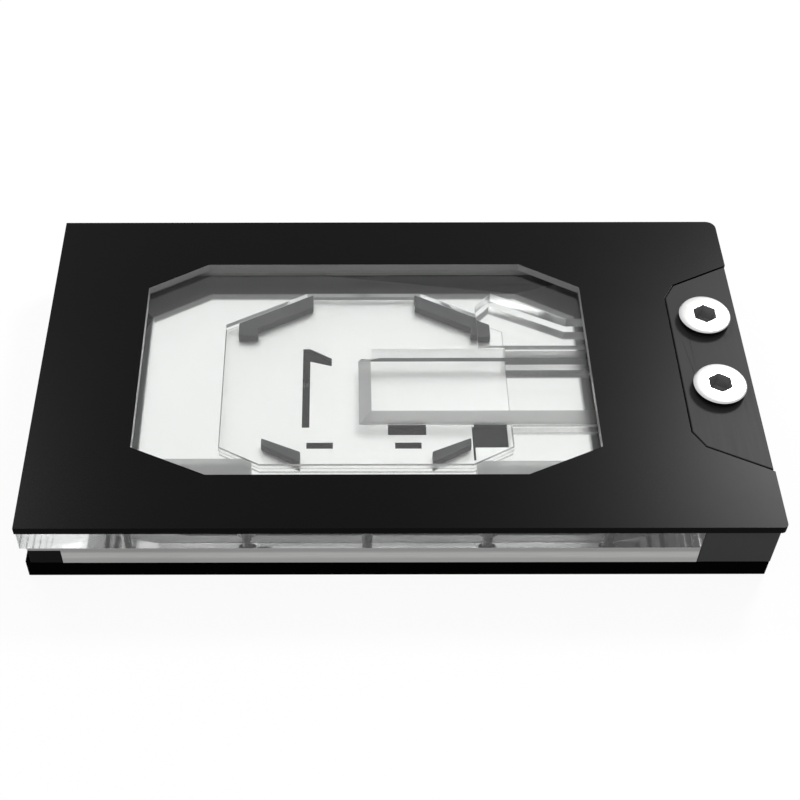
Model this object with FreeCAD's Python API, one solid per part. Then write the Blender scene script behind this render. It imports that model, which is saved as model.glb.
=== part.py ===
import FreeCAD, Part
import math
import os

# Liquid cooling cold plate: a clear-topped copper plate on a black mounting frame,
# with a windowed cover and a terminal block whose two ports are plugged.
# Millimetres. +X towards the terminal block, +Y to the back, +Z up.
# The origin is the centre of the footprint, on the face that stands on the card.

# ---- overall size and the stack of layers ----
LENGTH = 244.9
WIDTH = 141.5
FRAME_H = 8.0
BASE_H = 8.4
CLEAR_H = 8.8
COVER_H = 3.0
Z_BASE = FRAME_H
Z_CLEAR = Z_BASE + BASE_H
Z_COVER = Z_CLEAR + CLEAR_H
Z_TOP = Z_COVER + COVER_H

# ---- how far each layer is set in from the cover's edge ----
CLEAR_INSET = 0.5
CLEAR_LEFT = 0.15
BASE_INSET = 0.85
BASE_LEFT = 2.45
FRAME_INSET = 1.25
FRAME_LEFT = 0.65
RIGHT_STEP = 1.4
X_LEFT = -LENGTH / 2.0
X_RIGHT = LENGTH / 2.0
Y_FRONT = -WIDTH / 2.0
Y_BACK = WIDTH / 2.0
X_BASE = X_LEFT + BASE_LEFT
X_FRAME = X_LEFT + FRAME_LEFT
X_BLOCK = X_RIGHT - RIGHT_STEP

# ---- clearances ----
FIT = 0.1
SCREW_FIT = 0.2
THREAD_FIT = 0.05
SEAL_FIT = 0.2

# ---- window in the cover ----
WIN_L = 155.8
WIN_CENTRE = 112.15
WIN_BORDER_BACK = 22.85
WIN_BORDER_FRONT = 21.45
WIN_X = X_LEFT + WIN_CENTRE
WIN_BACK = Y_BACK - WIN_BORDER_BACK
WIN_FRONT = Y_FRONT + WIN_BORDER_FRONT
WIN_CUT_BACK = (21.0, 12.0)
WIN_CUT_FRONT = (25.2, 11.4)
COVER_BACK_R = 3.5
COVER_FRONT_R = 1.6

# ---- terminal block ----
BLOCK_W = 24.0
X_JOINT = X_BLOCK - BLOCK_W
BOSS_INSET = 0.4
BOSS_SHORE = 1.15
BOSS_CUT_W = 3.6
BOSS_SIDE = 10.0
BOSS_CORNER = 6.2
BOSS_Y = -0.6
BOSS_HALF = 47.2
BOSS_END = X_RIGHT - BOSS_INSET
BOSS_X = X_JOINT + BOSS_SHORE
BOSS_CUT_X = BOSS_X + BOSS_CUT_W
BOSS_CUT_HALF = BOSS_HALF - BOSS_SIDE
BOSS_INNER_HALF = BOSS_CUT_HALF - BOSS_CORNER
BOSS_GROOVE = 0.5
TONGUE_HALF = 45.0
TONGUE_WALL = 2.4
TONGUE_END = X_BLOCK - TONGUE_WALL

# ---- ports and their stop plugs ----
PORT_SETBACK = 11.05
PORT_PITCH = 32.4
PORT_MIDDLE = 3.4
PORT_X = X_BLOCK - PORT_SETBACK
PORT_Y_INLET = PORT_MIDDLE - PORT_PITCH / 2
PORT_Y_OUTLET = PORT_MIDDLE + PORT_PITCH / 2
PORT_R = 6.58
PORT_DEPTH = 9.0
PASSAGE_R = 4.5
PLUG_R = 9.0
PLUG_HEAD_H = 2.4
PLUG_SEAL_H = 0.8
PLUG_SEAL_R = 8.4
PLUG_SHANK = 7.0
PLUG_HEX = 7.6
PLUG_HEX_DEPTH = 6.0
GASKET_T = 1.0
GASKET_LIP = 2.8

# ---- wetted chamber in the plate ----
CHAMBER_DEPTH = 1.4
CHAMBER_MARGIN = 5.0
CHAMBER_END = 11.55
CHAMBER_X1 = X_JOINT - CHAMBER_END
Z_FLOOR = Z_CLEAR - CHAMBER_DEPTH
SEAL_MARGIN = 9.2
SEAL_END = 7.55
SEAL_X1 = X_JOINT - SEAL_END
SEAL_W = 2.0
SEAL_H = 1.8
TUNNEL_MOUTH = 7.0
TUNNEL_START = 8.5
TUNNEL_PAST = 3.0
TUNNEL_X0 = CHAMBER_X1 - TUNNEL_START
TUNNEL_X1 = PORT_X + TUNNEL_PAST
TUNNEL_HALF = 6.0
TUNNEL_H = 4.0
TUNNEL_FLOOR = 2.0
TUNNEL_Z = Z_BASE + TUNNEL_FLOOR

# ---- jet plate, its insert and the fins below ----
JET_OFFSET = 0.05
JET_X = WIN_X + JET_OFFSET
JET_L = 99.6
JET_W = 79.0
JET_BACK = JET_W / 2
JET_FRONT = -JET_W / 2
JET_CUT_BACK = (29.0, 15.4)
JET_CUT_FRONT = (14.0, 7.5)
JET_T = 1.2
INSERT_T = 1.2
JET_FIT = 0.15
FIN_L = 48.0
FIN_W = 40.0
FIN_H = 3.0
FIN_PITCH = 1.2
FIN_T = 0.6
JET_SLIT = 4.0

# ---- slots through the jet plate, from its middle (the square one from its end)
# ---- and its front edge ----
HOOK_X = 21.95
HOOK_W = 2.6
HOOK_L = 7.6
HOOK_TIP = 3.6
HOOK_DROP = 4.6
HOOK_ROOT = 6.0
HOOK_FRONT = 18.2
HOOK_RUN = 36.3
DASH_L = 9.0
DASH_W = 2.6
DASH_FRONT = 9.0
DASH_LEFT = 15.75
DASH_RIGHT = 14.35
FEED_X = 7.55
FEED_L = 13.1
FEED_W = 4.4
FEED_FRONT = 14.9
SQUARE_X = 12.75
SQUARE_L = 11.3
SQUARE_W = 9.9
SQUARE_FRONT = 9.4
THIN_W = 0.8
THIN_RUN = 14.6
THIN_FRONT = 3.9

# ---- corner clamps, set in from the jet plate's ends ----
CLAMP_H = 3.0
CLAMP_ROOM = 0.2
CLAMP_BACK_IN = 31.3
CLAMP_BACK_OUT = 4.6
CLAMP_FOOT_W = 7.0
CLAMP_BACK_T = 6.0
CLAMP_FOOT_L = 6.0
CLAMP_EDGE = 0.3
CLAMP_FRONT_IN = 27.6
CLAMP_FRONT_OUT = 14.3
CLAMP_FRONT_EDGE = 0.9
CLAMP_FRONT_RISE = 7.4
CLAMP_FRONT_T_IN = 4.4
CLAMP_FRONT_T_OUT = 2.9

# ---- channels cut up into the clear top ----
CHANNEL_DEPTH = 4.0
INLET_START = 1.95
INLET_W = 31.0
INLET_OFF = 5.8
INLET_R = 4.0
INLET_X0 = JET_X - INLET_START
INLET_Y0 = PORT_Y_INLET + INLET_OFF - INLET_W / 2
INLET_Y1 = PORT_Y_INLET + INLET_OFF + INLET_W / 2
CHANNEL_X1 = CHAMBER_X1
CHANNEL_WALL = 4.0
OUTLET_W = 13.0
OUTLET_RUN = 23.0
OUTLET_START = 40.25
OUTLET_CUT = 6.0
OUTLET_FLAT = 19.5
OUTLET_REACH = 25.9
OUTLET_Y0 = INLET_Y1 + CHANNEL_WALL
OUTLET_Y1 = OUTLET_Y0 + OUTLET_W

# ---- screws ----
SCREW_R = 1.5
HEAD_R = 2.75
HEAD_H = 2.6
SOCKET = 2.5
SOCKET_DEPTH = 1.4
TOP_SEAT = 5.6
TOP_SCREW_L = 9.2
ROW_PITCH = 38.8
ROW_EDGE = 7.25
ROW_Y = Y_BACK - ROW_EDGE
BESIDE_TONGUE = 13.0
FRAME_SEAT = 3.6
COVER_BITE = 1.7

# ---- mounting side ----
CORE = 52.0
CORE_GAP = 2.0
PAD_MEMORY = 1.0
PAD_POWER = 1.5
MEMORY_X = 41.0
MEMORY_W = 13.0
MEMORY_L = 44.0
MEMORY_BACK_Y = 41.5
MEMORY_BACK_L = 50.0
STAGE_LEFT = 36.45
STAGE_RIGHT = 25.05
POWER_X = (X_LEFT + STAGE_LEFT, X_JOINT - STAGE_RIGHT)
POWER_W = 12.0
STAGE_SIDE = 25.75
POWER_L = 2.0 * (Y_BACK - STAGE_SIDE)
ISLAND = 2.0
RELIEF = 2.6
RELIEF_LEFT = 26.45
RELIEF_RIGHT = 31.05
RELIEF_SIDE = 17.75
CARD_PITCH = 66.0
STANDOFF_FLATS = 7.0
STANDOFF_SEAT = 2.0
STANDOFF_HOLE_R = 1.25
STANDOFF_DEPTH = 5.0
OPENING_LEFT = 23.45
OPENING_RIGHT = 6.05
OPENING_SIDE = 13.75
OPENING_CUT = (24.0, 12.0)
CORNER_X = 10.6
CORNER_Y = 11.0
CORNER_H = 6.8


def box(x0, x1, y0, y1, z0, z1):
    """A block between the given limits."""
    return Part.makeBox(x1 - x0, y1 - y0, z1 - z0, FreeCAD.Vector(x0, y0, z0))


def rod(x, y, z0, z1, r):
    """An upright cylinder."""
    return Part.makeCylinder(r, z1 - z0, FreeCAD.Vector(x, y, z0))


def prism(points, z0, z1):
    """An upright prism over a closed outline."""
    loop = [FreeCAD.Vector(x, y, z0) for x, y in points]
    loop.append(loop[0])
    face = Part.Face(Part.makePolygon(loop))
    return face.extrude(FreeCAD.Vector(0, 0, z1 - z0))


def hexagon(x, y, z0, z1, flats):
    """An upright hexagonal prism, given across its flats."""
    r = flats / math.sqrt(3.0)
    turn = [math.radians(60 * k) for k in range(6)]
    return prism([(x + r * math.cos(a), y + r * math.sin(a)) for a in turn], z0, z1)


def octagon(x0, x1, y0, y1, back, front, grow=0.0):
    """A rectangle with its back and front corners cut off, grown outwards evenly."""
    def cut(size):
        long = math.hypot(size[0], size[1])
        dx = grow * (long - size[0]) / size[1]
        dy = grow * (long - size[1]) / size[0]
        return (size[0] + grow - dx, size[1] + grow - dy)
    bx, by = cut(back)
    fx, fy = cut(front)
    x0, x1, y0, y1 = x0 - grow, x1 + grow, y0 - grow, y1 + grow
    return [(x0 + fx, y0), (x1 - fx, y0), (x1, y0 + fy), (x1, y1 - by),
            (x1 - bx, y1), (x0 + bx, y1), (x0, y1 - by), (x0, y0 + fy)]


def round_upright(shape, r, keep):
    """Round the upright edges for which keep(x, y) holds."""
    edges = []
    for edge in shape.Edges:
        a, b = edge.Vertexes[0].Point, edge.Vertexes[-1].Point
        upright = abs(a.x - b.x) < 1e-6 and abs(a.y - b.y) < 1e-6
        if upright and abs(a.z - b.z) > 1e-6 and keep(a.x, a.y):
            edges.append(edge)
    return shape.makeFillet(r, edges)


def soften_top(shape, z, size, keep=None):
    """A small chamfer on the outer edges that lie at height z."""
    face = [f for f in shape.Faces if abs(f.BoundBox.ZMin - z) < 1e-6
            and abs(f.BoundBox.ZMax - z) < 1e-6]
    edges = [e for f in face for e in f.Edges if keep is None or keep(e)]
    return shape.makeChamfer(size, edges)


def cap_screw(x, y, seat, length, up):
    """A socket screw whose head bears on height seat; up is +1 for a head above the seat."""
    top = seat + up * HEAD_H
    head = rod(x, y, min(seat, top), max(seat, top), HEAD_R)
    end = seat - up * length
    shank = rod(x, y, min(seat, end), max(seat, end), SCREW_R)
    inner = top - up * SOCKET_DEPTH
    return head.fuse(shank).removeSplitter().cut(
        hexagon(x, y, min(top, inner), max(top, inner), SOCKET))


def group(solids):
    """Like fasteners as one node of separate solids."""
    return Part.makeCompound(solids)


def window_outline(grow=0.0):
    """The cover's window, grown evenly."""
    return octagon(WIN_X - WIN_L / 2, WIN_X + WIN_L / 2, WIN_FRONT, WIN_BACK,
                   WIN_CUT_BACK, WIN_CUT_FRONT, grow)


def wet_outline(margin, x1, grow=0.0):
    """The window grown by a margin and lengthened to the right, over the tunnels."""
    return octagon(WIN_X - WIN_L / 2 - margin, x1, WIN_FRONT - margin, WIN_BACK + margin,
                   WIN_CUT_BACK, WIN_CUT_FRONT, grow)


def jet_outline(grow=0.0):
    """The plate over the fins."""
    return octagon(JET_X - JET_L / 2, JET_X + JET_L / 2, JET_FRONT, JET_BACK,
                   JET_CUT_BACK, JET_CUT_FRONT, grow)


def boss_outline(grow=0.0):
    """The part of the terminal block that shows in the cover's notch."""
    end = BOSS_END + (COVER_H if grow > 0 else 0.0)
    slope = BOSS_SIDE / (X_RIGHT - BOSS_CUT_X)
    reach = BOSS_HALF + slope * (end - X_RIGHT)
    half = [(end, reach + grow * 1.1), (BOSS_CUT_X - grow * 0.4, BOSS_CUT_HALF + grow * 0.9),
            (BOSS_X - grow, BOSS_INNER_HALF + grow * 0.3)]
    back = [(x, BOSS_Y + y) for x, y in half]
    front = [(x, BOSS_Y - y) for x, y in reversed(half)]
    return back + front


def top_screw_spots():
    """Where the clear top is screwed down to the plate."""
    return [(WIN_X + k * ROW_PITCH, s * ROW_Y) for s in (-1, 1) for k in (-1, 1, 2)]


def cover_screw_spots():
    """Where long screws from the frame reach up into the cover."""
    rows = [(WIN_X + k * ROW_PITCH, s * ROW_Y) for s in (-1, 1) for k in (-2, 0)]
    ends = [(X_JOINT + BLOCK_W / 2, s * (TONGUE_HALF + BESIDE_TONGUE)) for s in (-1, 1)]
    return rows + ends


def ports():
    """The two ports by name."""
    return (("inlet", PORT_Y_INLET), ("outlet", PORT_Y_OUTLET))


def memory_islands():
    """Raised faces for the memory chips: name, x0, x1, y0, y1."""
    w, l, b = MEMORY_W / 2, MEMORY_L / 2, MEMORY_BACK_L / 2
    left, right = JET_X - MEMORY_X, JET_X + MEMORY_X
    return (("memory_left", left - w, left + w, -l, l),
            ("memory_right", right - w, right + w, -l, l),
            ("memory_back", JET_X - b, JET_X + b, MEMORY_BACK_Y - w, MEMORY_BACK_Y + w))


def power_islands():
    """Raised faces for the power stages: name, x0, x1, y0, y1."""
    names = ("power_left", "power_right")
    w, l = POWER_W / 2, POWER_L / 2
    return tuple((n, x - w, x + w, -l, l) for n, x in zip(names, POWER_X))


def card_spots():
    """The four card fixings around the core."""
    h = CARD_PITCH / 2
    return [(JET_X + sx * h, sy * h) for sx in (-1, 1) for sy in (-1, 1)]


def jet_slots(z0, z1):
    """The slots through the jet plate, in front of the fins and beside them."""
    x0 = JET_X - HOOK_X
    x1 = x0 + HOOK_W
    x2 = x1 + HOOK_L
    y0 = JET_FRONT + HOOK_FRONT
    y1 = y0 + HOOK_RUN
    slots = [prism([(x0, y0), (x1, y0), (x1, y1 - HOOK_ROOT),
                    (x2, y1 - HOOK_DROP - HOOK_TIP), (x2, y1 - HOOK_DROP),
                    (x0 + HOOK_W, y1), (x0, y1)], z0, z1)]

    def slot(x, y, length, width):
        y += JET_FRONT
        slots.append(box(JET_X + x, JET_X + x + length, y, y + width, z0, z1))
    slot(-DASH_LEFT - DASH_L / 2, DASH_FRONT, DASH_L, DASH_W)
    slot(DASH_RIGHT - DASH_L / 2, DASH_FRONT, DASH_L, DASH_W)
    slot(FEED_X, FEED_FRONT, FEED_L, FEED_W)
    square = JET_L / 2 - SQUARE_X
    slot(square, SQUARE_FRONT, SQUARE_L, SQUARE_W)
    slot(square - THIN_W, THIN_FRONT, THIN_W, THIN_RUN)
    return slots


def make_cover():
    """Black plate with the window and the notch for the terminal block."""
    body = box(X_LEFT, X_RIGHT, Y_FRONT, Y_BACK, Z_COVER, Z_TOP)
    body = round_upright(body, COVER_BACK_R, lambda x, y: x > 0 and y > 0)
    body = round_upright(body, COVER_FRONT_R, lambda x, y: x > X_RIGHT - FIT and y < Y_FRONT + FIT)
    body = body.cut(prism(window_outline(), Z_COVER, Z_TOP))
    body = body.cut(prism(boss_outline(BOSS_GROOVE), Z_COVER, Z_TOP))
    for x, y in cover_screw_spots():
        body = body.cut(rod(x, y, Z_COVER, Z_COVER + COVER_BITE, SCREW_R + THREAD_FIT))
    return body


def make_clear_top():
    """Clear plate with the chamber and both channels cut up into its underside."""
    x0, x1 = X_LEFT + CLEAR_LEFT, X_JOINT - FIT
    body = box(x0, x1, Y_FRONT + CLEAR_INSET, Y_BACK - CLEAR_INSET, Z_CLEAR, Z_COVER)
    room = CLAMP_H - CHAMBER_DEPTH + CLAMP_ROOM
    body = body.cut(prism(jet_outline(), Z_CLEAR, Z_CLEAR + room))
    inlet = box(INLET_X0, CHANNEL_X1, INLET_Y0, INLET_Y1, Z_CLEAR, Z_CLEAR + CHANNEL_DEPTH)
    inlet = round_upright(inlet, INLET_R, lambda x, y: True)
    xa = JET_X + OUTLET_START
    outlet = prism([(xa, OUTLET_Y0), (CHANNEL_X1, OUTLET_Y0), (CHANNEL_X1, OUTLET_Y1),
                    (CHANNEL_X1 - OUTLET_RUN, OUTLET_Y1),
                    (xa + OUTLET_CUT, OUTLET_Y0 + OUTLET_REACH),
                    (xa, OUTLET_Y0 + OUTLET_FLAT)], Z_CLEAR, Z_CLEAR + CHANNEL_DEPTH)
    body = body.cut(inlet).cut(outlet)
    seat = Z_COVER - TOP_SEAT + HEAD_H
    for x, y in top_screw_spots():
        body = body.cut(rod(x, y, Z_CLEAR, Z_COVER, SCREW_R + SCREW_FIT))
        body = body.cut(rod(x, y, seat - HEAD_H, Z_COVER, HEAD_R + SCREW_FIT))
    for x, y in cover_screw_spots():
        body = body.cut(rod(x, y, Z_CLEAR, Z_COVER, SCREW_R + SCREW_FIT))
    return body


def make_base():
    """Plated copper plate: chamber and fins above, contact islands below."""
    y0, y1 = Y_FRONT + BASE_INSET, Y_BACK - BASE_INSET
    body = box(X_BASE, X_JOINT - FIT, y0, y1, Z_BASE, Z_CLEAR)
    body = body.fuse(box(X_JOINT - FIT, TONGUE_END, -TONGUE_HALF, TONGUE_HALF, Z_BASE, Z_CLEAR))
    body = body.removeSplitter()
    cut = [box(X_BASE, X_BASE + CORNER_X + FIT, y0, y0 + CORNER_Y + FIT,
               Z_BASE, Z_BASE + CORNER_H + FIT)]
    cut.append(prism(wet_outline(CHAMBER_MARGIN, CHAMBER_X1), Z_FLOOR, Z_CLEAR))
    cut.append(seal_ring(SEAL_W / 2 + SEAL_FIT, Z_CLEAR - SEAL_H, Z_CLEAR))
    z_jet = Z_FLOOR - JET_T - INSERT_T
    cut.append(prism(jet_outline(JET_FIT), z_jet, Z_FLOOR))
    count = int(FIN_L / FIN_PITCH)
    first = JET_X - (count * FIN_PITCH - FIN_T) / 2
    gap = FIN_PITCH - FIN_T
    for k in range(count):
        x = first + k * FIN_PITCH
        cut.append(box(x, x + gap, -FIN_W / 2, FIN_W / 2, z_jet - FIN_H, z_jet))
    for name, y in ports():
        cut.append(box(TUNNEL_X0, TUNNEL_X1, y - TUNNEL_HALF, y + TUNNEL_HALF,
                       TUNNEL_Z, TUNNEL_Z + TUNNEL_H))
        cut.append(box(TUNNEL_X0, TUNNEL_X0 + TUNNEL_MOUTH, y - TUNNEL_HALF, y + TUNNEL_HALF,
                       TUNNEL_Z + TUNNEL_H, Z_FLOOR))
        cut.append(rod(PORT_X, y, TUNNEL_Z, Z_CLEAR, PASSAGE_R))
    for x, y in top_screw_spots():
        cut.append(rod(x, y, Z_COVER - TOP_SEAT - TOP_SCREW_L, Z_CLEAR,
                       SCREW_R + THREAD_FIT))
    for x, y in cover_screw_spots():
        if x < X_JOINT:
            cut.append(rod(x, y, Z_BASE, Z_CLEAR, SCREW_R + SCREW_FIT))
    for x, y in card_spots():
        cut.append(hexagon(x, y, Z_BASE, Z_BASE + STANDOFF_SEAT, STANDOFF_FLATS + FIT))
    side = Y_BACK - RELIEF_SIDE
    relief = box(X_LEFT + RELIEF_LEFT, X_JOINT - RELIEF_RIGHT, -side, side,
                 Z_BASE, Z_BASE + RELIEF)
    h = CORE / 2 + ISLAND
    relief = relief.cut(box(JET_X - h, JET_X + h, -h, h, Z_BASE, Z_BASE + RELIEF))
    for name, a, b, c, d in memory_islands() + power_islands():
        relief = relief.cut(box(a - ISLAND, b + ISLAND, c - ISLAND, d + ISLAND,
                                Z_BASE, Z_BASE + RELIEF))
    h = STANDOFF_FLATS / 2 + ISLAND
    for x, y in card_spots():
        relief = relief.cut(box(x - h, x + h, y - h, y + h, Z_BASE, Z_BASE + RELIEF))
    cut.append(relief)
    body = body.cut(cut)
    h = CORE / 2
    body = body.fuse(box(JET_X - h, JET_X + h, -h, h, CORE_GAP, Z_BASE))
    for name, a, b, c, d in memory_islands():
        body = body.fuse(box(a, b, c, d, CORE_GAP + PAD_MEMORY, Z_BASE))
    for name, a, b, c, d in power_islands():
        body = body.fuse(box(a, b, c, d, CORE_GAP + PAD_POWER, Z_BASE))
    return body.removeSplitter()


def seal_ring(half, z0, z1):
    """A flat ring that follows the chamber's edge, half wide to each side of its line."""
    grow = SEAL_MARGIN - CHAMBER_MARGIN
    ring = prism(wet_outline(CHAMBER_MARGIN, SEAL_X1 - grow, grow + half), z0, z1)
    return ring.cut(prism(wet_outline(CHAMBER_MARGIN, SEAL_X1 - grow, grow - half), z0, z1))


def make_jet_plate():
    """Bright plate over the fins, with slots that feed them."""
    body = prism(jet_outline(), Z_FLOOR - JET_T, Z_FLOOR)
    return body.cut(jet_slots(Z_FLOOR - JET_T, Z_FLOOR))


def make_jet_insert():
    """Black plate under the jet plate, with one long jet over the fins."""
    z0 = Z_FLOOR - JET_T - INSERT_T
    body = prism(jet_outline(), z0, z0 + INSERT_T)
    body = body.cut(box(JET_X - FIN_L / 2, JET_X + FIN_L / 2, -JET_SLIT / 2, JET_SLIT / 2,
                        z0, z0 + INSERT_T))
    return body


def clamp_outline(side, back):
    """Outline of a corner clamp; side is -1 on the left and +1 on the right."""
    end = JET_L / 2
    if back:
        near, far = end - CLAMP_BACK_IN, end - CLAMP_BACK_OUT
        slope = JET_CUT_BACK[1] / JET_CUT_BACK[0]
        drop = slope * (far - near)
        top = JET_BACK - CLAMP_EDGE
        inner = far - CLAMP_FOOT_W
        foot = top - drop - CLAMP_FOOT_L
        points = [(near, top), (far, top - drop), (far, foot), (inner, foot),
                  (inner, top - CLAMP_BACK_T - slope * (inner - near)),
                  (near, top - CLAMP_BACK_T)]
    else:
        near, far = end - CLAMP_FRONT_IN, end - CLAMP_FRONT_OUT
        low = JET_FRONT + CLAMP_FRONT_EDGE
        high = low + CLAMP_FRONT_RISE
        points = [(far, high + CLAMP_FRONT_T_OUT), (near, low + CLAMP_FRONT_T_IN),
                  (near, low), (far, high)]
    return [(JET_X + side * x, y) for x, y in points]


def make_terminal():
    """Black block with both ports; its middle bridges the plate's tongue."""
    y0, y1 = Y_FRONT + BASE_INSET, Y_BACK - BASE_INSET
    body = box(X_JOINT, X_BLOCK, y0, y1, Z_BASE, Z_COVER)
    body = body.cut(box(X_JOINT, TONGUE_END + FIT, -TONGUE_HALF - FIT, TONGUE_HALF + FIT,
                        Z_BASE, Z_CLEAR))
    body = body.fuse(prism(boss_outline(), Z_COVER, Z_TOP)).removeSplitter()
    for name, y in ports():
        body = body.cut(rod(PORT_X, y, Z_TOP - PORT_DEPTH, Z_TOP, PORT_R))
        body = body.cut(rod(PORT_X, y, Z_CLEAR, Z_TOP - PORT_DEPTH, PASSAGE_R))
    body = body.cut(gasket_sheet(SEAL_FIT))
    for x, y in cover_screw_spots():
        if x > X_JOINT:
            body = body.cut(rod(x, y, Z_BASE, Z_COVER, SCREW_R + SCREW_FIT))
    return body


def gasket_sheet(grow=0.0):
    """The sheet between the terminal block and the plate, under both ports."""
    r = PASSAGE_R + GASKET_LIP + grow
    return box(PORT_X - r, PORT_X + r, PORT_Y_INLET - r, PORT_Y_OUTLET + r,
               Z_CLEAR, Z_CLEAR + GASKET_T)


def make_gasket():
    """Flat gasket with a hole at each passage."""
    sheet = gasket_sheet()
    for name, y in ports():
        sheet = sheet.cut(rod(PORT_X, y, Z_CLEAR, Z_CLEAR + GASKET_T, PASSAGE_R + SEAL_FIT))
    return sheet


def make_plug(y):
    """Stop plug with a flat round head and a hexagon socket."""
    z_head = Z_TOP + PLUG_SEAL_H
    head = rod(PORT_X, y, z_head, z_head + PLUG_HEAD_H, PLUG_R)
    head = soften_top(head, z_head + PLUG_HEAD_H, 0.5)
    shank = rod(PORT_X, y, Z_TOP - PLUG_SHANK, z_head, PORT_R - THREAD_FIT)
    top = z_head + PLUG_HEAD_H
    body = head.fuse(shank).removeSplitter()
    return body.cut(hexagon(PORT_X, y, top - PLUG_HEX_DEPTH, top, PLUG_HEX))


def make_plug_seal(y):
    """Ring under one plug's head."""
    ring = rod(PORT_X, y, Z_TOP, Z_TOP + PLUG_SEAL_H, PLUG_SEAL_R)
    return ring.cut(rod(PORT_X, y, Z_TOP, Z_TOP + PLUG_SEAL_H, PORT_R))


def make_frame():
    """Black mounting frame, open over the card's chips."""
    y0, y1 = Y_FRONT + FRAME_INSET, Y_BACK - FRAME_INSET
    body = box(X_FRAME, X_BLOCK, y0, y1, 0.0, FRAME_H)
    x0, x1 = X_LEFT + OPENING_LEFT, X_JOINT - OPENING_RIGHT
    side = Y_BACK - OPENING_SIDE
    body = body.cut(prism(octagon(x0, x1, -side, side, OPENING_CUT, OPENING_CUT), 0.0, FRAME_H))
    for x, y in cover_screw_spots():
        body = body.cut(rod(x, y, 0.0, FRAME_SEAT, HEAD_R + SCREW_FIT))
        body = body.cut(rod(x, y, FRAME_SEAT, FRAME_H, SCREW_R + SCREW_FIT))
    return body


def make_corner_block():
    """Black block that fills the plate's missing front left corner."""
    y0 = Y_FRONT + BASE_INSET
    return box(X_BASE, X_BASE + CORNER_X, y0, y0 + CORNER_Y, Z_BASE, Z_BASE + CORNER_H)


def make_standoff(x, y):
    """Hexagonal standoff seated in the plate, with a tapped hole that opens on the card."""
    body = hexagon(x, y, 0.0, Z_BASE + STANDOFF_SEAT, STANDOFF_FLATS)
    return body.cut(rod(x, y, 0.0, STANDOFF_DEPTH, STANDOFF_HOLE_R))


def build():
    """Every part by name."""
    parts = {"cover": make_cover(), "clear_top": make_clear_top(), "base_plate": make_base()}
    parts["jet_plate"] = make_jet_plate()
    parts["jet_insert"] = make_jet_insert()
    for where, back in (("back", True), ("front", False)):
        for hand, side in (("left", -1), ("right", 1)):
            outline = clamp_outline(side, back)
            parts["clamp_%s_%s" % (where, hand)] = prism(outline, Z_FLOOR, Z_FLOOR + CLAMP_H)
    parts["chamber_seal"] = seal_ring(SEAL_W / 2, Z_CLEAR - SEAL_H, Z_CLEAR)
    parts["terminal_block"] = make_terminal()
    for name, y in ports():
        parts["plug_" + name] = make_plug(y)
        parts["plug_seal_" + name] = make_plug_seal(y)
    parts["block_gasket"] = make_gasket()
    parts["mounting_frame"] = make_frame()
    parts["corner_block"] = make_corner_block()
    parts["top_screws"] = group(
        [cap_screw(x, y, Z_COVER - TOP_SEAT, TOP_SCREW_L, 1) for x, y in top_screw_spots()])
    length = Z_COVER + COVER_BITE - FRAME_SEAT
    parts["cover_screws"] = group(
        [cap_screw(x, y, FRAME_SEAT, length, -1) for x, y in cover_screw_spots()])
    parts["standoffs"] = group([make_standoff(x, y) for x, y in card_spots()])
    for name, a, b, c, d in memory_islands():
        parts["pad_" + name] = box(a, b, c, d, CORE_GAP, CORE_GAP + PAD_MEMORY)
    for name, a, b, c, d in power_islands():
        parts["pad_" + name] = box(a, b, c, d, CORE_GAP, CORE_GAP + PAD_POWER)
    return parts


os.makedirs("parts", exist_ok=True)
for node, shape in build().items():
    shape.exportStep("parts/%s.step" % node)
    print(node, shape.isValid(), len(shape.Solids), round(shape.Volume / 1000.0, 2))
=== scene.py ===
import math

import bmesh
import bpy
from bpy.props import FloatProperty, FloatVectorProperty, PointerProperty
from mathutils import Matrix, Vector


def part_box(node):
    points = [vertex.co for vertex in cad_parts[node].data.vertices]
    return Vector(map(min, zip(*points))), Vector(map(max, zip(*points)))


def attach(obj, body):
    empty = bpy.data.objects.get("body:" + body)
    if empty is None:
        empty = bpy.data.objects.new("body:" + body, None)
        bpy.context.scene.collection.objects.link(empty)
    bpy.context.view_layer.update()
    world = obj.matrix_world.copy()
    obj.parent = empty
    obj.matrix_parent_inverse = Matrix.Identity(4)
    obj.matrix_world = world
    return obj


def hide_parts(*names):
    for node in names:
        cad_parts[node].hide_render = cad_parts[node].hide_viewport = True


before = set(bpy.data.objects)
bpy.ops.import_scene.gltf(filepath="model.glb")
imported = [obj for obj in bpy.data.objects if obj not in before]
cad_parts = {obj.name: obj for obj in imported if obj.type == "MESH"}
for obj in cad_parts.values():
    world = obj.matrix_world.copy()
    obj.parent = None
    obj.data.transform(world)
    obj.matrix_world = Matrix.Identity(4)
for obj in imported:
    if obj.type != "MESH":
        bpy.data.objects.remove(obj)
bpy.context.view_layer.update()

bl_info = {
    "name": "Liquid cooling cold plate",
    "version": (1, 0, 0),
    "blender": (4, 5, 0),
    "location": "View3D > Sidebar > Cold plate",
    "description": "Dresses the cold plate's solids with finished pieces, materials and a studio",
    "category": "Object",
}

MM = 0.001


def mm(*values):
    """Sizes or places given in millimetres, in metres."""
    return tuple(value * MM for value in values)


# ---------------------------------------------------------------- fixed sizes

# Corner cuts of the octagons, along x and along y, at the back and at the front.
WINDOW_BACK_CUT = mm(21.0, 12.0)
WINDOW_FRONT_CUT = mm(25.2, 11.4)
JET_BACK_CUT = mm(29.0, 15.4)
JET_FRONT_CUT = mm(14.0, 7.5)
LAND_BACK_CUT = mm(22.0, 13.0)
LAND_FRONT_CUT = mm(26.0, 12.0)

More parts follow.
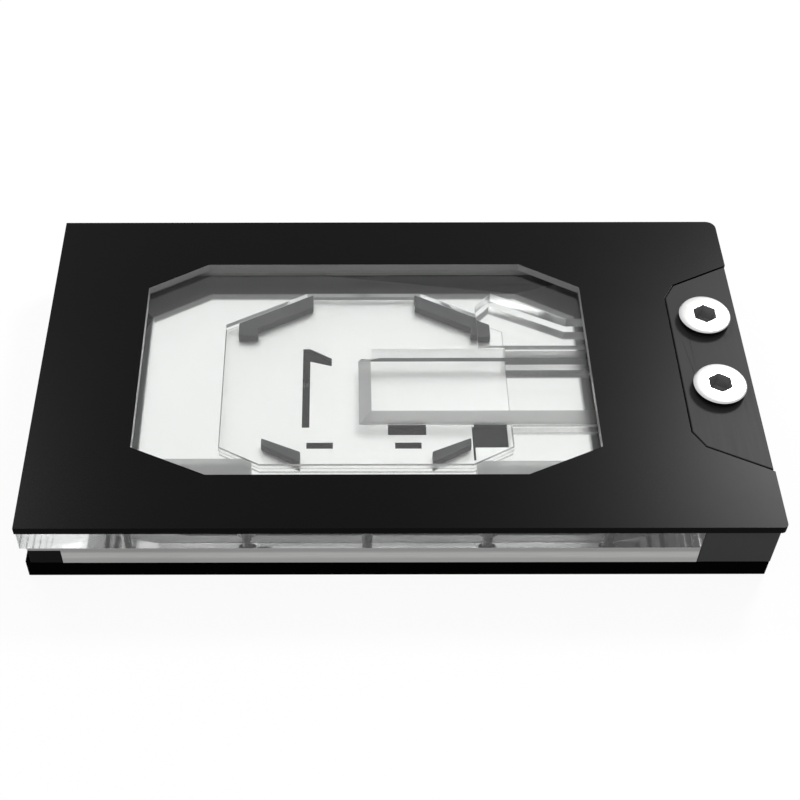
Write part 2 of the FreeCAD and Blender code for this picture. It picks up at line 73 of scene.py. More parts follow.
# The cover: its right-hand corners, and the notch that goes round the terminal block's raised part. The
# notch is given by its half widths at the cover's end, at its shoulder and at its nose.
COVER_BACK_CORNER = 3.5 * MM
COVER_FRONT_CORNER = 1.6 * MM
CORNER_STEPS = 6
NOTCH_MIDDLE = -0.6 * MM
NOTCH_NOSE_INSET = 0.65 * MM
NOTCH_SLOPE = 3.9 * MM
NOTCH_HALF_END = 47.75 * MM
NOTCH_HALF_SHOULDER = 37.65 * MM
NOTCH_HALF_NOSE = 31.15 * MM
WINDOW_WALL_INSET = 12.0 * MM

# Screws along the front and back rows, counted from the window's middle.
ROW_PITCH = 38.8 * MM
ROW_Y = 63.5 * MM
ALL_SCREWS = range(-2, 3)
TOP_SCREWS = (-1, 1, 2)

# The clear plate's outer edges, its screw holes, and the seats for the heads, with their cutter's height.
CLEAR_EDGE = 0.25 * MM
SCREW_HOLE_RADIUS = 1.7 * MM
SCREW_HOLE_SIDES = 32
SEAT_RADIUS = 2.95 * MM
SEAT_SIDES = 40
SEAT_DEPTH = 5.6 * MM
SEAT_CUTTER = 8.0 * MM

# Heights of the hollows over the clear plate's underside, and how far their cutters reach below it.
UNDERCUT = 0.5 * MM
ROOM_HEIGHT = 1.8 * MM
STEP_HEIGHT = 2.4 * MM
STEP_OVERLAP = 0.02 * MM
CEILING_HEIGHT = 4.0 * MM
LAND_HEIGHT = 0.15 * MM
ROOF_HEIGHT = 1.95 * MM

# The milled land: how far its outer and inner outline lie outside the seal, less so at the right.
LAND_OUTSIDE = 5.8 * MM
LAND_INSIDE = -2.6 * MM
LAND_RIGHT_SHARE = 0.6

# The inlet, with the lean of its left, front and back walls over the step, and the outlet's corners.
INLET_X = mm(-12.6, 85.5)
INLET_Y = mm(-22.9, 7.0)
INLET_CORNER = 1.5 * MM
INLET_CORNER_STEPS = 8
INLET_LEAN = mm(4.3, 5.4, 0.3)
OUTLET = (
    mm(30.0, 12.5), mm(85.5, 12.5), mm(85.5, 25.5), mm(62.5, 25.5), mm(36.0, 38.4), mm(30.0, 32.0),
)

# Frosted patches on the underside: from and to along x, from and to along y, and their height. The two
# front ones are grey patches put where shade falls: painted shade.
FROSTED_AND_SHADE_PATCHES = (
    (*mm(-80.0, -48.6, -45.0, -36.5), LAND_HEIGHT),
    (*mm(26.4, 80.0, -45.0, -37.6), LAND_HEIGHT),
    (*mm(-8.0, 39.5, 7.2, 11.9), ROOF_HEIGHT),
    (*mm(39.6, 85.0, 7.2, 11.9), LAND_HEIGHT),
)

# How near a face's centre lies to a place that it is picked by.
AT_HEIGHT = 0.01 * MM
AT_OUTLINE = 0.02 * MM
AT_WALL = 0.4 * MM

# How much of a face's normal points one way: less than SIDE upwards on a side, more than FACING where the
# face looks that way, and more than FLAT up or down on a level face.
SIDE, FACING, FLAT = 0.3, 0.9, 0.98

# The stop plugs, whose top edge is given as how far it lies in from the rim and down from the top, the
# hexagon socket, with the depths between which a face belongs to it, and the rubber ring under each head.
PLUG_RIM = 9.0 * MM
PLUG_HEAD = 2.4 * MM
PLUG_SHANK = 6.53 * MM
PLUG_TOP_EDGE = (mm(1.2, 0.0), mm(0.45, 0.15), mm(0.0, 0.6))
PLUG_UNDER_EDGE = 0.3 * MM
PLUG_STEPS = 72
SOCKET_FLATS = 7.6 * MM
SOCKET_DEPTH = 6.0 * MM
SOCKET_CUTTER = 8.0 * MM
SOCKET_REACH = 4.6 * MM
SOCKET_BELOW = mm(6.2, 0.1)
RING_INNER = 6.6 * MM
RING_STEPS = 64
RING_SECTION = 10

# The chamber's seal: its rounding, and how far it is pressed up.
SEAL_ROUNDING = 0.45 * MM
SEAL_RAISE = 0.25 * MM

# Broken edges of the solids that are kept.
BLOCK_EDGE = 0.3 * MM
PAD_EDGE = 0.15 * MM

# Distances under which points are merged, angles above which an edge is bevelled, and angles in degrees
# above which smooth shading breaks.
SPIN_MERGE = 0.001 * MM
SOLID_MERGE = 0.002 * MM
NEW_SHARP = math.radians(30.0)
SOLID_SHARP = math.radians(40.0)
METAL_SMOOTH = 32.0
CLEAR_SMOOTH = 15.0
RUBBER_SMOOTH = 60.0

# Heights between which painted shade on the base plate sets in: on every flat face below the first pair,
# the floor between the fins among them, and on the milled sides at their foot and at their brow.
FIN_FLOOR_SHADE = mm(12.7, 13.2)
SIDE_FOOT_SHADE = mm(9.9, 11.3)
SIDE_BROW_SHADE = mm(13.2, 14.4)

# Where painted shade darkens the clear plate's sides: from the terminal block on, and in a band under the
# cover.
BLOCK_SHADE_FROM = 66.5 * MM
BLOCK_SHADE_FADE = mm(67.0, 112.0)
SHADE_BAND_HEIGHTS = mm(16.1, 16.9)
SHADE_BAND_FROM = -92.0 * MM
SHADE_BAND_TONE = 0.5
ACRYLIC_IOR = 1.49

# The camera, its turns in degrees, and the lamps: name, place, aim, size and power of each.
CAMERA_PLACE = mm(-18.6, -337.22, 402.59)
CAMERA_TURNS = ((0.087, "Z"), (40.489, "X"), (-0.158, "Z"))
CAMERA_LENS = 65.4
CAMERA_SENSOR = 36.0
CAMERA_SHIFT = 0.0751
LAMPS = (
    ("key", (0.57, 0.73, 0.95), (0.12, -0.07, 0.03), 0.25, 10.0),
    ("fill", (-0.56, 0.66, 0.95), (-0.12, -0.07, 0.03), 0.25, 2.6),
)

# The floor, how white it shows to the camera, and the world's strength where it only gives light.
FLOOR_SIZE = 3.0
FLOOR_GLOW = 0.92
WORLD_LIGHT = 0.7

# Colours that aren't offered for change.
BLACK = (0.0, 0.0, 0.0)
WHITE = (1.0, 1.0, 1.0, 1.0)
WINDOW_WALL = (0.25, 0.25, 0.25)
# Painted shade inside the plugs' sockets.
SOCKET_SHADE_DARK = (0.26, 0.26, 0.26)
SOCKET_SHADE_LIGHT = (0.38, 0.38, 0.38)
RUBBER_DARK = (0.008, 0.008, 0.008)
RUBBER_LIGHT = (0.016, 0.016, 0.016)
STEEL_DARK = (0.20, 0.20, 0.205)
STEEL_LIGHT = (0.30, 0.30, 0.31)
BRASS = (0.72, 0.56, 0.26)


# ---------------------------------------------------------------- sizes and colours to change


class ColdPlateSizes(bpy.types.PropertyGroup):
    """Sizes of the visible pieces, in metres."""

    edge_break: FloatProperty(
        name="Edge break",
        description="Width of the small chamfer along machined edges",
        default=0.35 * MM,
        unit="LENGTH",
    )
    air_gap: FloatProperty(
        name="Air gap",
        description="Gap between the clear plate and what it lies against",
        default=0.05 * MM,
        unit="LENGTH",
    )
    window_inset_left: FloatProperty(
        name="Window inset, left",
        description="From the cover's left edge to the window",
        default=34.25 * MM,
        unit="LENGTH",
    )
    window_length: FloatProperty(
        name="Window length",
        description="Length of the window in the cover",
        default=155.8 * MM,
        unit="LENGTH",
    )
    window_front: FloatProperty(
        name="Window front margin",
        description="From the cover's front edge to the window",
        default=21.45 * MM,
        unit="LENGTH",
    )
    window_back: FloatProperty(
        name="Window back margin",
        description="From the cover's back edge to the window",
        default=22.85 * MM,
        unit="LENGTH",
    )


class ColdPlateColours(bpy.types.PropertyGroup):
    """Base colours of the finishes."""

    cover: FloatVectorProperty(
        name="Cover",
        description="Black anodised cover",
        subtype="COLOR",
        size=3,
        min=0.0,
        max=1.0,
        default=(0.0005, 0.0005, 0.0006),
    )
    nickel: FloatVectorProperty(
        name="Nickel",
        description="Polished nickel plating",
        subtype="COLOR",
        size=3,
        min=0.0,
        max=1.0,
        default=(0.90, 0.895, 0.885),
    )
    clear: FloatVectorProperty(
        name="Clear plate",
        description="Clear acrylic",
        subtype="COLOR",
        size=3,
        min=0.0,
        max=1.0,
        default=(0.97, 0.985, 0.98),
    )
    # The darker nickel for the sides is painted shade on the sides.
    milled: FloatVectorProperty(
        name="Nickel sides",
        description="Duller nickel on the milled sides",
        subtype="COLOR",
        size=3,
        min=0.0,
        max=1.0,
        default=(0.40, 0.40, 0.395),
    )
    acetal: FloatVectorProperty(
        name="Black plastic",
        description="Machined black acetal",
        subtype="COLOR",
        size=3,
        min=0.0,
        max=1.0,
        default=(0.022, 0.022, 0.023),
    )
    plug: FloatVectorProperty(
        name="Plugs",
        description="Bright turned plugs",
        subtype="COLOR",
        size=3,
        min=0.0,
        max=1.0,
        default=(0.62, 0.62, 0.615),
    )
    pad: FloatVectorProperty(
        name="Thermal pads",
        description="Soft grey thermal pads",
        subtype="COLOR",
        size=3,
        min=0.0,
        max=1.0,
        default=(0.33, 0.36, 0.42),
    )
    floor: FloatVectorProperty(
        name="Floor",
        description="Pale studio floor",
        subtype="COLOR",
        size=3,
        min=0.0,
        max=1.0,
        default=(0.90, 0.90, 0.90),
    )


def sizes():
    """The sizes that the pieces are made from."""
    return bpy.context.scene.cold_plate_sizes


def colours():
    """The base colours that the finishes are made from."""
    return bpy.context.scene.cold_plate_colours


# ---------------------------------------------------------------- shader nodes


class Socket:
    """An output socket that takes part in plain arithmetic, on either side of the sign."""

    def __init__(self, paint, socket):
        self.paint = paint
        self.socket = socket

    def maths(self, operation, other, flip=False):
        """A Math node on this socket and a number or another socket."""
        first, second = (other, self) if flip else (self, other)
        return self.paint.node("ShaderNodeMath", {"operation": operation}, {0: first, 1: second})

    def __add__(self, other):
        return self.maths("ADD", other)

    __radd__ = __add__

    def __mul__(self, other):
        return self.maths("MULTIPLY", other)

    __rmul__ = __mul__

    def __sub__(self, other):
        return self.maths("SUBTRACT", other)

    def __rsub__(self, other):
        return self.maths("SUBTRACT", other, flip=True)

    def __gt__(self, other):
        return self.maths("GREATER_THAN", other)

    def __lt__(self, other):
        return self.maths("LESS_THAN", other)


# Sockets of the Mix node for colours and of Mix Shader, whose names aren't their own.
MIX_FACTOR, MIX_FIRST, MIX_SECOND, MIX_COLOUR = 0, 6, 7, 2
SHADER_FACTOR, SHADER_FIRST, SHADER_SECOND = 0, 1, 2


class Paint:
    """Builds the nodes of one material or world."""

    def __init__(self, owner):
        owner.use_nodes = True
        self.owner = owner
        self.tree = owner.node_tree
        self.tree.nodes.clear()

    def node(self, kind, settings=None, inputs=None, output=0):
        """One node: its settings first, then the values or links of its sockets."""
        made = self.tree.nodes.new(kind)
        for key, value in (settings or {}).items():
            setattr(made, key, value)
        for key, value in (inputs or {}).items():
            if isinstance(value, Socket):
                self.tree.links.new(value.socket, made.inputs[key])
            else:
                made.inputs[key].default_value = value
        return Socket(self, made.outputs[output]) if len(made.outputs) else None

    def place(self, scale=(1.0, 1.0, 1.0), centre=(0.0, 0.0, 0.0)):
        """Object coordinates, moved to a centre and scaled."""
        here = self.node("ShaderNodeTexCoord", output="Object")
        moved = self.node("ShaderNodeVectorMath", {"operation": "SUBTRACT"}, {0: here, 1: centre})
        return self.node(
            "ShaderNodeMapping", {"vector_type": "POINT"}, {"Vector": moved, "Scale": scale}
        )

    def noise(self, where, scale, detail, roughness):
        """Even noise that runs from 0 to 1."""
        return self.node(
            "ShaderNodeTexNoise",
            inputs={"Vector": where, "Scale": scale, "Detail": detail, "Roughness": roughness},
        )

    def tint(self, factor, dark, light):
        """A colour that runs from dark to light with a factor."""
        first, second = (end if isinstance(end, Socket) else (*end, 1.0) for end in (dark, light))
        return self.node(
            "ShaderNodeMix",
            {"data_type": "RGBA"},
            {MIX_FACTOR: factor, MIX_FIRST: first, MIX_SECOND: second},
            output=MIX_COLOUR,
        )

    def level(self, least=0.5):
        """1 on the faces that look up or down, 0 on the sides."""
        facing = self.node("ShaderNodeNewGeometry", output="True Normal")
        up = self.node("ShaderNodeSeparateXYZ", inputs={"Vector": facing}, output="Z")
        return up * up > least

    def along(self, axis):
        """How far a place lies along one axis, in metres."""
        return self.node("ShaderNodeSeparateXYZ", inputs={"Vector": self.place()}, output=axis)

    def ramp(self, value, limits):
        """0 below the first limit, 1 above the second, and even between them."""
        low, high = limits
        return self.node(
            "ShaderNodeMapRange", inputs={"Value": value, "From Min": low, "From Max": high}
        )

    def rise(self, limits):
        """0 below one height, 1 above the other."""
        return self.ramp(self.along("Z"), limits)

    def bump(self, height, strength, distance):
        """A fine relief that tilts the surface."""
        return self.node(
            "ShaderNodeBump", inputs={"Height": height, "Strength": strength, "Distance": distance}
        )

    def surface(self, shader):
        """The finished material, with a shader on its surface."""
        self.node("ShaderNodeOutputMaterial", inputs={"Surface": shader})
        return self.owner

    def principled(self, **inputs):
        """The finished material, from the Principled shader's sockets by name."""
        names = {key.replace("_", " "): value for key, value in inputs.items()}
        return self.surface(self.node("ShaderNodeBsdfPrincipled", inputs=names))


def new_paint(name):
    """A new material with no nodes yet."""
    return Paint(bpy.data.materials.new(name))


def shade(colour, factor):
    """A colour made lighter or darker."""
    return tuple(min(1.0, channel * factor) for channel in colour)


# ---------------------------------------------------------------- finishes


def anodised_black(name, colour, rough, specular):
    """Black anodised aluminium: satin, with fine blasted grain and faint cloudiness."""
    paint = new_paint(name)
    grain = paint.noise(paint.place(), scale=2600.0, detail=3.0, roughness=0.7)
    cloud = paint.noise(paint.place(), scale=26.0, detail=3.0, roughness=0.5)
    return paint.principled(
        Base_Color=paint.tint(cloud, shade(colour, 0.85), shade(colour, 1.2)),
        Roughness=rough + 0.05 * cloud + 0.04 * grain,
        Specular_IOR_Level=specular,
        Normal=paint.bump(grain, strength=0.06, distance=0.04 * MM),
    )


def machined_acetal(name, colour, rough=0.42, specular=0.4):
    """Black plastic with faint cutter marks along one direction."""
    paint = new_paint(name)
    marks = paint.noise(paint.place(scale=(1.0, 0.04, 1.0)), scale=900.0, detail=2.0, roughness=0.6)
    cloud = paint.noise(paint.place(), scale=60.0, detail=3.0, roughness=0.5)
    return paint.principled(
        Base_Color=paint.tint(cloud, shade(colour, 0.9), shade(colour, 1.15)),
        Roughness=rough + 0.08 * marks,
        Specular_IOR_Level=specular,
        Normal=paint.bump(marks, strength=0.10, distance=0.05 * MM),
    )


def plated_nickel():
    """Nickel plating: satin with fine wipe marks on the flat faces, rougher on the milled sides, with
    painted shade on the sides, at their foot and brow, and on the flats between the fins.
    """
    paint = new_paint("plated_nickel")
    cloud = paint.noise(paint.place(), scale=34.0, detail=3.0, roughness=0.5)
    wipe = paint.noise(paint.place(scale=(0.03, 1.0, 1.0)), scale=1500.0, detail=3.0, roughness=0.6)
    marks = paint.noise(paint.place(scale=(0.05, 0.05, 1.0)), scale=2200.0, detail=3.0, roughness=0.6)
    level = paint.level()
    foot = paint.rise(SIDE_FOOT_SHADE)
    brow_shade = paint.rise(SIDE_BROW_SHADE)
    out_of_fin_shade = paint.rise(FIN_FLOOR_SHADE)
    nickel, milled = colours().nickel, colours().milled
    flat = paint.tint(cloud, shade(nickel, 0.97), shade(nickel, 1.02))
    # The sides take the darker nickel, painted shade, with more painted shade at their foot and their
    # brow.
    side = paint.tint(marks, shade(milled, 0.88), shade(milled, 1.28))
    side = paint.tint(foot, shade(milled, 0.86), side)
    side = paint.tint(brow_shade, side, shade(milled, 0.74))
    # Every flat face below the chamber floor's height is painted nearly black: painted shade between the
    # fins.
    flat = paint.tint(out_of_fin_shade, shade(nickel, 0.12), flat)
    return paint.principled(
        Base_Color=paint.tint(level, side, flat),
        Metallic=1.0,
        Roughness=(0.07 + 0.05 * cloud + 0.04 * wipe) * level + (0.42 + 0.1 * marks) * (1.0 - level),
        Normal=paint.bump(wipe, strength=0.05, distance=0.02 * MM),
    )


def brushed_steel():
    """Ground steel plate with fine straight lines, and painted shade on its sides."""
    paint = new_paint("ground_steel")
    lines = paint.noise(paint.place(scale=(0.02, 1.0, 1.0)), scale=2400.0, detail=2.0, roughness=0.6)
    level = paint.level()
    colour = shade(colours().nickel, 0.95)
    # The sides take the darker nickel: painted shade.
    return paint.principled(
        Base_Color=paint.tint(
            level, colours().milled, paint.tint(lines, shade(colour, 0.96), shade(colour, 1.02))
        ),
        Metallic=1.0,
        Roughness=0.42 + 0.07 * lines,
        Normal=paint.bump(lines, strength=0.06, distance=0.02 * MM),
    )


def clear_acrylic():
    """Clear acrylic with polished faces."""
    paint = new_paint("clear_acrylic")
    faint = paint.noise(paint.place(), scale=90.0, detail=2.0, roughness=0.5)
    return paint.principled(
        Base_Color=(*colours().clear, 1.0),
        Roughness=0.004 * faint,
        IOR=ACRYLIC_IOR,
        Transmission_Weight=1.0,
    )


def milled_acrylic(name, tone, rough, end=1.0):
    """Clear acrylic as the cutter or the saw leaves it: frosted, with painted shade on its end by the
    block, and, with that, on a band under the cover.
    """
    paint = new_paint(name)
    marks = paint.noise(paint.place(scale=(1.0, 1.0, 0.1)), scale=1400.0, detail=3.0, roughness=0.6)
    colour = shade(colours().clear, tone)
    # Painted shade from the terminal block on, fading out along x.
    along = paint.along("X")
    near = along > BLOCK_SHADE_FROM
    block_shade_fade = paint.ramp(along, BLOCK_SHADE_FADE)
    frost = paint.tint(marks, shade(colour, 0.85), shade(colour, 1.1))
    block_shaded = paint.tint(block_shade_fade, shade(colour, end), colour)
    body = paint.tint(near, frost, block_shaded)
    # Painted shade on a band along the upper part of the sides, under the cover.
    if end < 1.0:
        band = paint.rise(SHADE_BAND_HEIGHTS) * (along > SHADE_BAND_FROM)
        body = paint.tint(band, body, paint.tint(SHADE_BAND_TONE, BLACK, body))
    return paint.principled(
        Base_Color=body,
        Roughness=rough * (0.8 + 0.4 * marks),
        IOR=ACRYLIC_IOR,
        Transmission_Weight=1.0,
    )


def turned_metal(name, colour, centre, rough=0.16):
    """Bright metal turned on a lathe: fine rings on its faces, polished round its side, whose colour is
    darkened there as a painted dark reflection.
    """
    paint = new_paint(name)
    rings = paint.node(
        "ShaderNodeTexWave",
        {"wave_type": "RINGS", "rings_direction": "Z", "wave_profile": "SAW"},
        {"Vector": paint.place(centre=centre), "Scale": 1400.0, "Distortion": 1.5, "Detail": 2.0},
        output="Fac",
    )
    cloud = paint.noise(paint.place(), scale=160.0, detail=3.0, roughness=0.5)
    level = paint.level(least=0.06)
    # The sides are darkened to 0.15 of the colour: a painted dark reflection round the side.
    return paint.principled(
        Base_Color=paint.tint(
            level, shade(colour, 0.15), paint.tint(cloud, shade(colour, 0.94), shade(colour, 1.03))
        ),
        Metallic=1.0,
        Roughness=0.05 + (rough - 0.05 + 0.07 * rings + 0.05 * cloud) * level,
        Normal=paint.bump(rings * level, strength=0.10, distance=0.03 * MM),
    )


def socket_painted_shade():
    """Dark grey metal inside a plug's socket: painted shade in the recess."""
    paint = new_paint("socket_shade_black")
    cloud = paint.noise(paint.place(), scale=500.0, detail=3.0, roughness=0.6)
    return paint.principled(
        Base_Color=paint.tint(cloud, SOCKET_SHADE_DARK, SOCKET_SHADE_LIGHT),
        Metallic=0.6,
        Roughness=0.4 + 0.2 * cloud,
    )


def seal_rubber():
    """Matt black rubber."""
    paint = new_paint("seal_rubber")
    dust = paint.noise(paint.place(), scale=1200.0, detail=4.0, roughness=0.7)
    return paint.principled(
        Base_Color=paint.tint(dust, RUBBER_DARK, RUBBER_LIGHT),
        Roughness=0.55 + 0.2 * dust,
        Normal=paint.bump(dust, strength=0.2, distance=0.05 * MM),
    )


def screw_steel():
    """Plated steel screws."""
    paint = new_paint("screw_steel")
    cloud = paint.noise(paint.place(), scale=700.0, detail=3.0, roughness=0.6)
    return paint.principled(
        Base_Color=paint.tint(cloud, STEEL_DARK, STEEL_LIGHT),
        Metallic=1.0,
        Roughness=0.25 + 0.12 * cloud,
    )


def soft_pad():
    """Soft thermal pad: fine dimples on a dull grey-blue sheet."""
    paint = new_paint("thermal_pad")
    dimples = paint.node(
        "ShaderNodeTexVoronoi",
        {"feature": "SMOOTH_F1"},
        {"Vector": paint.place(), "Scale": 1300.0},
    )
    cloud = paint.noise(paint.place(), scale=120.0, detail=3.0, roughness=0.5)
    colour = colours().pad
    return paint.principled(
        Base_Color=paint.tint(cloud, shade(colour, 0.9), shade(colour, 1.1)),
        Roughness=0.75 + 0.1 * cloud,
        Normal=paint.bump(dimples, strength=0.25, distance=0.1 * MM),
    )


# ---------------------------------------------------------------- mesh helpers


def circle(bm, x, y, z, r, count):
    """A ring of edges, each once and always in the same order."""
    made = bmesh.ops.create_circle(
        bm, cap_ends=False, segments=count, radius=r, matrix=Matrix.Translation((x, y, z))
    )
    return list(dict.fromkeys(edge for vert in made["verts"] for edge in vert.link_edges))


def rectangle(x0, x1, y0, y1):
    """The corners of a rectangle."""
    return [(x0, y0), (x1, y0), (x1, y1), (x0, y1)]


def loop(bm, points, z):
    """A closed outline of edges."""
    verts = [bm.verts.new((x, y, z)) for x, y in points]
    return [bm.edges.new(pair) for pair in zip(verts, verts[1:] + verts[:1])]


def fill_and_raise(bm, edges, height):
    """Fill an outline with its holes and raise it to a closed slab."""
    bmesh.ops.triangle_fill(bm, use_beauty=True, use_dissolve=False, edges=edges)
    made = bmesh.ops.extrude_face_region(bm, geom=bm.faces[:])
    verts = [item for item in made["geom"] if isinstance(item, bmesh.types.BMVert)]
    bmesh.ops.translate(bm, verts=verts, vec=(0.0, 0.0, height))
    bmesh.ops.recalc_face_normals(bm, faces=bm.faces[:])


def break_edges(bm, width, segments=2, keep=lambda edge: True):
    """A small rounded chamfer along the sharp edges."""
    sharp = [
        edge
        for edge in bm.edges
        if len(edge.link_faces) == 2 and edge.calc_face_angle(0.0) > NEW_SHARP and keep(edge)
    ]
    bmesh.ops.bevel(
        bm,
        geom=sharp,
        offset=width,
        offset_type="OFFSET",
        segments=segments,
        profile=0.5,
        affect="EDGES",
        material=-1,
        clamp_overlap=True,
    )


def smooth_round(bm, angle=METAL_SMOOTH):
    """Smooth shading, broken at the sharp edges."""
    for face in bm.faces:
        face.smooth = True
    for edge in bm.edges:
        edge.smooth = edge.calc_face_angle(0.0) < math.radians(angle)


def settle(bm):
    """Put points, edges and faces in order of place, which the operators leave to chance."""
    for items, place in (
        (bm.verts, lambda vert: tuple(vert.co)),
        (bm.edges, lambda edge: sorted(vert.index for vert in edge.verts)),
        (bm.faces, lambda face: sorted(vert.index for vert in face.verts)),
    ):
        ranks = {item: rank for rank, item in enumerate(sorted(items, key=place))}
        items.sort(key=ranks.get)
        items.index_update()


def as_object(name, bm):
    """A new piece from a bmesh, at the origin."""
    settle(bm)
    mesh = bpy.data.meshes.new(name)
    bm.to_mesh(mesh)
    bm.free()
    piece = bpy.data.objects.new(name, mesh)
    bpy.context.scene.collection.objects.link(piece)
    return piece


def dress(piece, material, node):
    """Give a new piece its finish, its body and the solid that it stands for."""
    piece.data.materials.clear()
    piece.data.materials.append(material)
    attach(piece, "root")
    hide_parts(node)
    return piece


def mark(piece, material, keep):
    """Add a finish for the faces whose centre and normal pass a test."""
    piece.data.materials.append(material)
    for face in piece.data.polygons:
        if keep(face.center, face.normal):
            face.material_index = len(piece.data.materials) - 1


def finish_node(node, material, edge=0.0):
    """Keep a solid as it is, with a finish and lightly broken edges."""
    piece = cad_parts[node]
    if len(piece.material_slots) == 0:
        piece.data.materials.append(material)
    for place in piece.material_slots:
        place.material = material
    if edge > 0.0:
        weld = piece.modifiers.new("weld", "WELD")
        weld.merge_threshold = SOLID_MERGE
        bevel = piece.modifiers.new("bevel", "BEVEL")
        bevel.width = edge
        bevel.segments = 2
        bevel.limit_method = "ANGLE"
        bevel.angle_limit = SOLID_SHARP


def rework(piece, *steps):
    """Run each step on a piece's mesh."""
    bm = bmesh.new()
    bm.from_mesh(piece.data)
    for step in steps:
        step(bm)
    bm.to_mesh(piece.data)
    bm.free()


def carve(piece, cutter):
    """Cut one closed shape out of a piece and drop the cutter."""
    cut = piece.modifiers.new("carve", "BOOLEAN")
    cut.operation = "DIFFERENCE"
    cut.solver = "EXACT"
    cut.object = cutter
    view = bpy.context.evaluated_depsgraph_get()
    mesh = bpy.data.meshes.new_from_object(piece.evaluated_get(view))
    piece.modifiers.clear()
    piece.data = mesh
    rework(piece, settle)
    bpy.data.objects.remove(cutter)


def join_flats(bm):
    """Join the faces that lie in one plane."""
    bmesh.ops.dissolve_limit(
        bm, angle_limit=0.01, verts=bm.verts[:], edges=bm.edges[:], use_dissolve_boundaries=False
    )


def spin_round(bm, x, y, outline, steps, closed=False):
    """Spin an outline, given as radius and height, about an upright axis."""
    verts = [bm.verts.new((x + r, y, z)) for r, z in outline]
    ends = verts[1:] + verts[:1] if closed else verts[1:]
    edges = [bm.edges.new(pair) for pair in zip(verts, ends)]
    bmesh.ops.spin(
        bm,
        geom=verts + edges,
        cent=(x, y, 0.0),
        axis=(0.0, 0.0, 1.0),
        angle=math.tau,
        steps=steps,
        use_merge=True,
        use_normal_flip=False,
    )
    bmesh.ops.remove_doubles(bm, verts=bm.verts[:], dist=SPIN_MERGE)
    bmesh.ops.recalc_face_normals(bm, faces=bm.faces[:])


def slab(name, points, z0, z1):
    """A closed slab over one outline."""
    bm = bmesh.new()
    fill_and_raise(bm, loop(bm, points, z0), z1 - z0)
    return as_object(name, bm)


def octagon(x0, x1, y0, y1, back, front):
    """A rectangle with its back and front corners cut off."""
    (bx, by), (fx, fy) = back, front
    return [
        (x0 + fx, y0), (x1 - fx, y0), (x1, y0 + fy), (x1, y1 - by),
        (x1 - bx, y1), (x0 + bx, y1), (x0, y1 - by), (x0, y0 + fy),
    ]


# ---------------------------------------------------------------- outlines


def window_points():
    """The cover's window."""
    low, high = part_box("cover")
    s = sizes()
    x0 = low[0] + s.window_inset_left
    return octagon(
        x0, x0 + s.window_length, low[1] + s.window_front, high[1] - s.window_back,
        WINDOW_BACK_CUT, WINDOW_FRONT_CUT,
    )


def jet_points():
    """The bright plate over the fins."""
    low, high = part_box("jet_plate")
    return octagon(low[0], high[0], low[1], high[1], JET_BACK_CUT, JET_FRONT_CUT)


def notch_points():
    """The cover's notch, a narrow gap away from the terminal block's raised part."""
    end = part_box("cover")[1][0]
    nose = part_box("terminal_block")[0][0] + NOTCH_NOSE_INSET
    half = [
        (end, NOTCH_HALF_END),
        (nose + NOTCH_SLOPE, NOTCH_HALF_SHOULDER),
        (nose, NOTCH_HALF_NOSE),
    ]
    back = [(x, NOTCH_MIDDLE + y) for x, y in half]
    front = [(x, NOTCH_MIDDLE - y) for x, y in reversed(half)]
    return back + front


def rounded(x, y, r, start):
    """The points of a right-hand corner rounded to r, clockwise from a start angle."""
    centre = (x - r, y - r if start else y + r)
    turn = [math.radians(start - 90.0 * k / CORNER_STEPS) for k in range(CORNER_STEPS + 1)]
    return [(centre[0] + r * math.cos(a), centre[1] + r * math.sin(a)) for a in turn]


def row_spots(places):
    """Screw places along the front and back rows, counted from the window's middle."""
    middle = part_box("cover")[0][0] + sizes().window_inset_left + sizes().window_length / 2
    return [(middle + k * ROW_PITCH, side * ROW_Y) for side in (-1, 1) for k in places]


def at_edge(spot, low, high, reach):
    """True for places that lie on a plate's outer sides."""
    return min(spot.x - low[0], high[0] - spot.x, spot.y - low[1], high[1] - spot.y) < reach


# ---------------------------------------------------------------- pieces


class COLDPLATE_OT_cover(bpy.types.Operator):
    """Black cover with its window, broken edges and the notch for the terminal block"""

    bl_idname = "coldplate.cover"
    bl_label = "Cover"

    def execute(self, context):
        low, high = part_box("cover")
        bm = bmesh.new()
        outer = [(low[0], low[1]), (low[0], high[1])]
        outer += rounded(high[0], high[1], COVER_BACK_CORNER, 90.0)
        outer += notch_points()
        outer += rounded(high[0], low[1], COVER_FRONT_CORNER, 0.0)
        edges = loop(bm, outer, low[2]) + loop(bm, window_points(), low[2])
        fill_and_raise(bm, edges, high[2] - low[2])
        break_edges(bm, sizes().edge_break)
        black = colours().cover
        satin = anodised_black("black_anodised", black, rough=0.235, specular=0.072)
        sides = anodised_black("anodised_edges", black, rough=0.4, specular=0.02)
        walls = anodised_black("milled_edges", WINDOW_WALL, rough=0.45, specular=0.3)
        plate = dress(as_object("cover_plate", bm), satin, "cover")
        mark(plate, sides, lambda spot, facing: abs(facing.z) < SIDE)
        mark(
            plate, walls,
            lambda spot, facing: facing.z < FACING and not at_edge(spot, low, high, WINDOW_WALL_INSET),
        )
        return {"FINISHED"}


